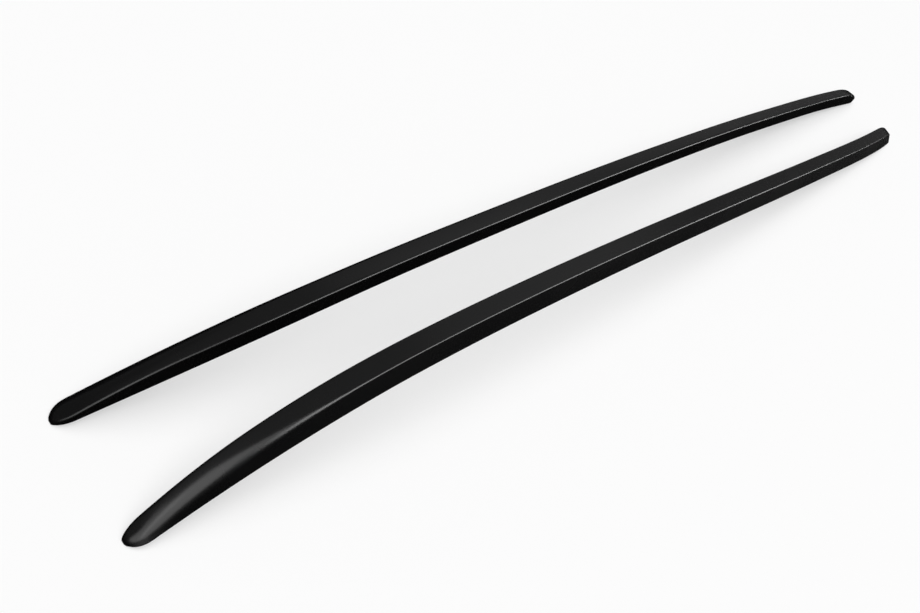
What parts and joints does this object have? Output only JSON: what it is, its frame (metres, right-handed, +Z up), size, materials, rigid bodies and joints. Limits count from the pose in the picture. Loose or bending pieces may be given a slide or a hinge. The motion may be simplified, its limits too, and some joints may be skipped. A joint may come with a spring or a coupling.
{
  "type": "roof side rail pair",
  "caption": "Pair of long, low, arched roof side rails for a vehicle: slim tapering black channel castings, each with a base seal and threaded fixings underneath.",
  "frame": {"origin": "on the ground, half-way between the four tips", "axes": "+X along the rails from the front tips to the rear tips, +Y towards the right-hand rail, +Z up"},
  "size_m": [1.8001, 0.1682, 0.1117],
  "materials": {
    "rail_coating": "satin black powder coat on cast aluminium",
    "seal_rubber": "matt",
    "insert_brass": "turned"
  },
  "bodies": {
    "root": {"rail_right": "rail_coating", "rail_left": "rail_coating", "base_seal_right": "seal_rubber", "base_seal_left": "seal_rubber", "threaded_inserts_right": "insert_brass", "threaded_inserts_left": "insert_brass"}
  },
  "joints": []
}
